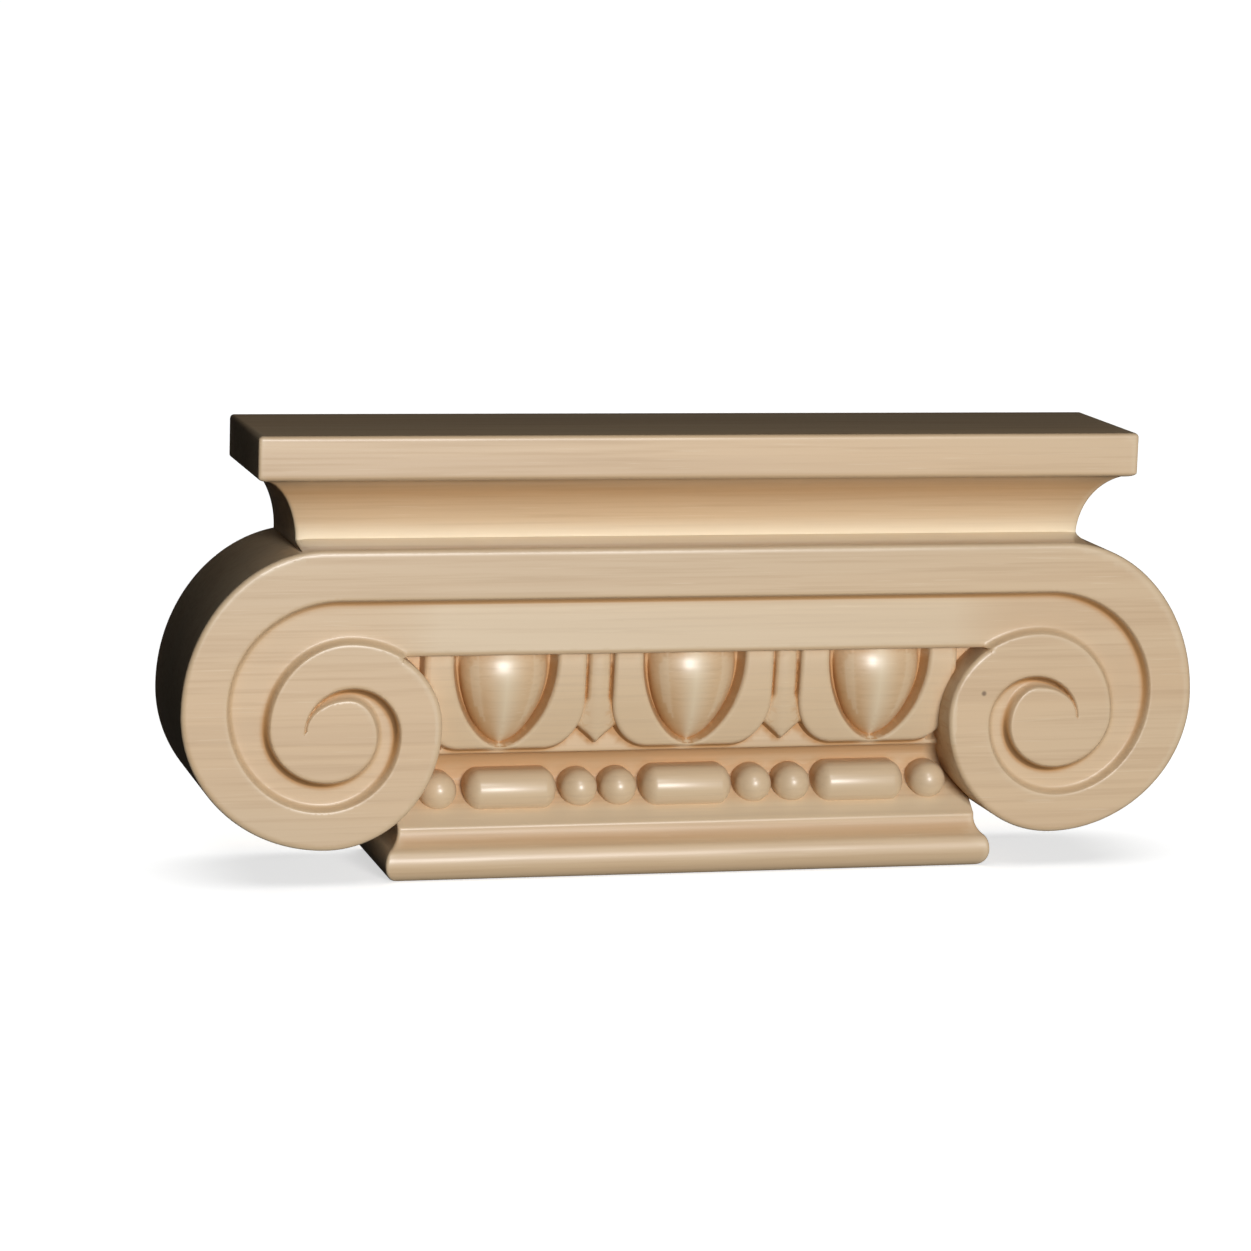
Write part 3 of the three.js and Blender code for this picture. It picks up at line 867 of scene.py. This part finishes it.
def carved_capital(material):
    block = object_of("block", carved_block())
    block.data.materials.append(material)
    row = bead_and_reel(material)
    join = block.modifiers.new("row", "BOOLEAN")
    join.operation, join.solver, join.object = "UNION", "EXACT", row
    mesh = evaluated_mesh(block)
    for spent in (block, row):
        bpy.data.objects.remove(spent)

    work = bmesh.new()
    work.from_mesh(mesh)
    bmesh.ops.remove_doubles(work, verts=work.verts, dist=1e-6)
    bmesh.ops.triangulate(work, faces=work.faces)
    work.to_mesh(mesh)
    work.free()
    mesh.shade_smooth()
    mesh.set_sharp_from_angle(angle=math.radians(38))

    places = np.empty(len(mesh.vertices) * 3)
    mesh.vertices.foreach_get("co", places)
    x, y, z = (places.reshape(-1, 3) * 1000).T
    shade_and_glaze, light_and_pale = tones(x, z, BACK - y)
    for name, values in (("shade_and_glaze", shade_and_glaze), ("light_and_pale", light_and_pale)):
        mesh.attributes.new(name, "FLOAT", "POINT").data.foreach_set("value", values.astype(np.float32))
    mesh.name = "carved_capital"
    return object_of("carved_capital", mesh)


# Maple under a clear satin finish, with painted light and shade mixed into its colour

WARM_WOOD = (0.70, 0.495, 0.295, 1)
COOL_WOOD = (0.66, 0.495, 0.315, 1)
LATE_BANDS = (0.60, 0.415, 0.245, 1)
DARK_FIBRES = (0.50, 0.33, 0.185, 1)
PALE_FLECKS = (0.82, 0.66, 0.46, 1)
# Brown for painted shade and glaze, a darker brown for painted shade in the deepest corners, and a pale for
# painted highlights and paler places
SHADE_AND_GLAZE_BROWN = (0.48, 0.225, 0.06, 1)
CORNER_SHADE_BROWN = (0.15, 0.075, 0.025, 1)
HIGHLIGHT_AND_PALE = (0.84, 0.72, 0.52, 1)
KNOT_BROWN = (0.10, 0.05, 0.02, 1)
KNOT_PLACE = (0.05067, (BACK - PLATE_DEPTH) / 1000, 0.0310)
KNOT_RADIUS = 0.00042


def maple():
    material = bpy.data.materials.new("maple")
    material.use_nodes = True
    tree = material.node_tree
    build = Builder(tree)
    shader = tree.nodes["Principled BSDF"]
    place = build.add("ShaderNodeTexCoord").outputs["Object"]

    def grain(scale, noise_scale, detail, distortion=0.0):
        stretched = build.add("ShaderNodeMapping", {"Vector": place, "Scale": scale})
        noise = build.add("ShaderNodeTexNoise", {
            "Vector": stretched.outputs[0], "Scale": noise_scale, "Detail": detail, "Distortion": distortion})
        return noise.outputs[0]

    def spread(value, low, high, out_low=0.0, out_high=1.0):
        return build.add("ShaderNodeMapRange", {
            0: value, 1: low, 2: high, 3: out_low, 4: out_high}, interpolation_type="SMOOTHSTEP").outputs[0]

    def mixed(factor, a, b):
        node = build.add("ShaderNodeMix", data_type="RGBA")
        for socket, value in ((node.inputs[0], factor), (node.inputs[6], a), (node.inputs[7], b)):
            if isinstance(value, bpy.types.NodeSocket):
                tree.links.new(value, socket)
            else:
                socket.default_value = value
        return node.outputs[2]

    broad = grain((5, 40, 40), 1.0, 2.0, 0.6)
    bands = grain((7, 150, 220), 1.0, 3.0, 0.3)
    fibres = grain((30, 900, 1400), 1.0, 4.0)
    flecks = grain((90, 1500, 2600), 1.0, 2.0)

    wood = mixed(spread(broad, 0.3, 0.7), WARM_WOOD, COOL_WOOD)
    wood = mixed(spread(bands, 0.42, 0.68, 0.0, 0.55), wood, LATE_BANDS)
    wood = mixed(spread(fibres, 0.45, 0.75, 0.0, 0.35), wood, DARK_FIBRES)
    wood = mixed(spread(flecks, 0.62, 0.78, 0.0, 0.25), wood, PALE_FLECKS)

    shade_and_glaze = build.add("ShaderNodeAttribute", attribute_name="shade_and_glaze").outputs["Fac"]
    light_and_pale = build.add("ShaderNodeAttribute", attribute_name="light_and_pale").outputs["Fac"]
    # Painted shade and glaze: brown where the carving lies deep
    wood = mixed(spread(shade_and_glaze, 0.0, 0.9, 0.0, 0.88), wood, SHADE_AND_GLAZE_BROWN)
    # Painted shade: darker still in the deepest corners
    wood = mixed(spread(shade_and_glaze, 0.65, 1.05, 0.0, 0.75), wood, CORNER_SHADE_BROWN)
    # Painted highlights and light, and paler places
    wood = mixed(spread(light_and_pale, 0.1, 1.5, 0.0, 0.9), wood, HIGHLIGHT_AND_PALE)
    to_knot = build.add("ShaderNodeVectorMath", {0: place, 1: KNOT_PLACE}, operation="DISTANCE")
    in_knot = spread(to_knot.outputs["Value"], KNOT_RADIUS * 0.4, KNOT_RADIUS * 1.5, 0.75, 0.0)
    wood = mixed(in_knot, wood, KNOT_BROWN)
    tree.links.new(wood, shader.inputs["Base Color"])

    worn = build.math("MULTIPLY_ADD", shade_and_glaze, 0.3, spread(fibres, 0.3, 0.7, 0.40, 0.50))
    tree.links.new(worn, shader.inputs["Roughness"])
    coat = build.math("MULTIPLY_ADD", spread(light_and_pale, 0.4, 0.7), 0.2, spread(shade_and_glaze, 0.0, 0.5, 0.25, 0.0))
    tree.links.new(coat, shader.inputs["Coat Weight"])
    bump = build.add("ShaderNodeBump", {"Height": fibres, "Strength": 0.06, "Distance": 0.0002})
    tree.links.new(bump.outputs[0], shader.inputs["Normal"])
    shader.inputs["Coat Roughness"].default_value = 0.26
    return material


# The stage: a pale floor, soft light from the front and a little to the right, and the camera

FLOOR_GLOW = 0.62
LIGHT_AIM = Vector((0, 0, 0.04))


def pale_floor():
    material = bpy.data.materials.new("pale_floor")
    material.use_nodes = True
    shader = material.node_tree.nodes["Principled BSDF"]
    shader.inputs["Base Color"].default_value = (0.82, 0.82, 0.81, 1)
    shader.inputs["Roughness"].default_value = 0.9
    shader.inputs["Emission Color"].default_value = (1, 1, 1, 1)
    shader.inputs["Emission Strength"].default_value = FLOOR_GLOW
    return material


def lit_alone(light, obj):
    """Lets a light fall on one object only."""
    receivers = bpy.data.collections.new("lit_by_" + light.name)
    receivers.objects.link(obj)
    light.light_linking.receiver_collection = receivers


def floor():
    mesh = mesh_of("floor", [(-6, -6, 0), (6, -6, 0), (6, 6, 0), (-6, 6, 0)], [(0, 1, 2, 3)])
    mesh.materials.append(pale_floor())
    obj = object_of("floor", mesh)
    obj.visible_diffuse = False
    obj.visible_glossy = False
    light = bpy.data.lights.new("floor_light", "SUN")
    light.energy, light.angle = 1.6, math.radians(70)
    lit_alone(object_of("floor_light", light), obj)


def soft_light(name, place, size, power):
    light = bpy.data.lights.new(name, "AREA")
    light.shape, light.size, light.energy = "DISK", size, power
    obj = object_of(name, light)
    obj.location = place
    obj.rotation_euler = (LIGHT_AIM - Vector(place)).to_track_quat("-Z", "Y").to_euler()
    obj.visible_camera = False
    return obj


def studio():
    """White to the camera's eye, and only a faint fill on the carving."""
    world = bpy.data.worlds.new("studio")
    world.use_nodes = True
    build = Builder(world.node_tree)
    seen = build.add("ShaderNodeLightPath").outputs["Is Camera Ray"]
    strength = build.add("ShaderNodeMapRange", {0: seen, 3: 0.014, 4: 1.0}).outputs[0]
    world.node_tree.links.new(strength, world.node_tree.nodes["Background"].inputs["Strength"])
    world.node_tree.nodes["Background"].inputs["Color"].default_value = (1, 1, 1, 1)
    bpy.context.scene.world = world


CAMERA_YAW = 0.2585
CAMERA_PITCH = 0.1727
CAMERA_ROLL = 0.0307
CAMERA_DISTANCE = 0.7690
CAMERA_AIM = (-0.01025, -0.00095, 0.04153)
CAMERA_FOCAL_PIXELS = 4486.6
PHOTO_WIDTH = 1251


def camera():
    flat = math.cos(CAMERA_PITCH)
    forward = Vector((math.sin(CAMERA_YAW) * flat, math.cos(CAMERA_YAW) * flat, -math.sin(CAMERA_PITCH)))
    level = Vector((math.cos(CAMERA_YAW), -math.sin(CAMERA_YAW), 0))
    upright_axis = level.cross(forward)
    right = math.cos(CAMERA_ROLL) * level + math.sin(CAMERA_ROLL) * upright_axis
    up = math.cos(CAMERA_ROLL) * upright_axis - math.sin(CAMERA_ROLL) * level
    data = bpy.data.cameras.new("camera")
    data.sensor_width = 36
    data.lens = CAMERA_FOCAL_PIXELS / PHOTO_WIDTH * data.sensor_width
    data.clip_start, data.clip_end = 0.05, 30
    obj = object_of("camera", data)
    turn = Matrix((right, up, -forward)).transposed().to_4x4()
    obj.matrix_world = Matrix.Translation(Vector(CAMERA_AIM) - forward * CAMERA_DISTANCE) @ turn
    bpy.context.scene.camera = obj


bpy.context.scene.view_settings.view_transform = "Standard"
camera()
floor()
studio()
soft_light("key", (0.15, -1.5, 0.265), size=0.42, power=20)
glint = soft_light("glint", (0.0, -1.2, 0.9), size=0.2, power=5)
glint.visible_diffuse = False

capital = carved_capital(maple())
behind = soft_light("behind", (0, 1.5, 0.04), size=0.5, power=22)
behind.visible_glossy = False
lit_alone(behind, capital)
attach(capital, "root")
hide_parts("capital")
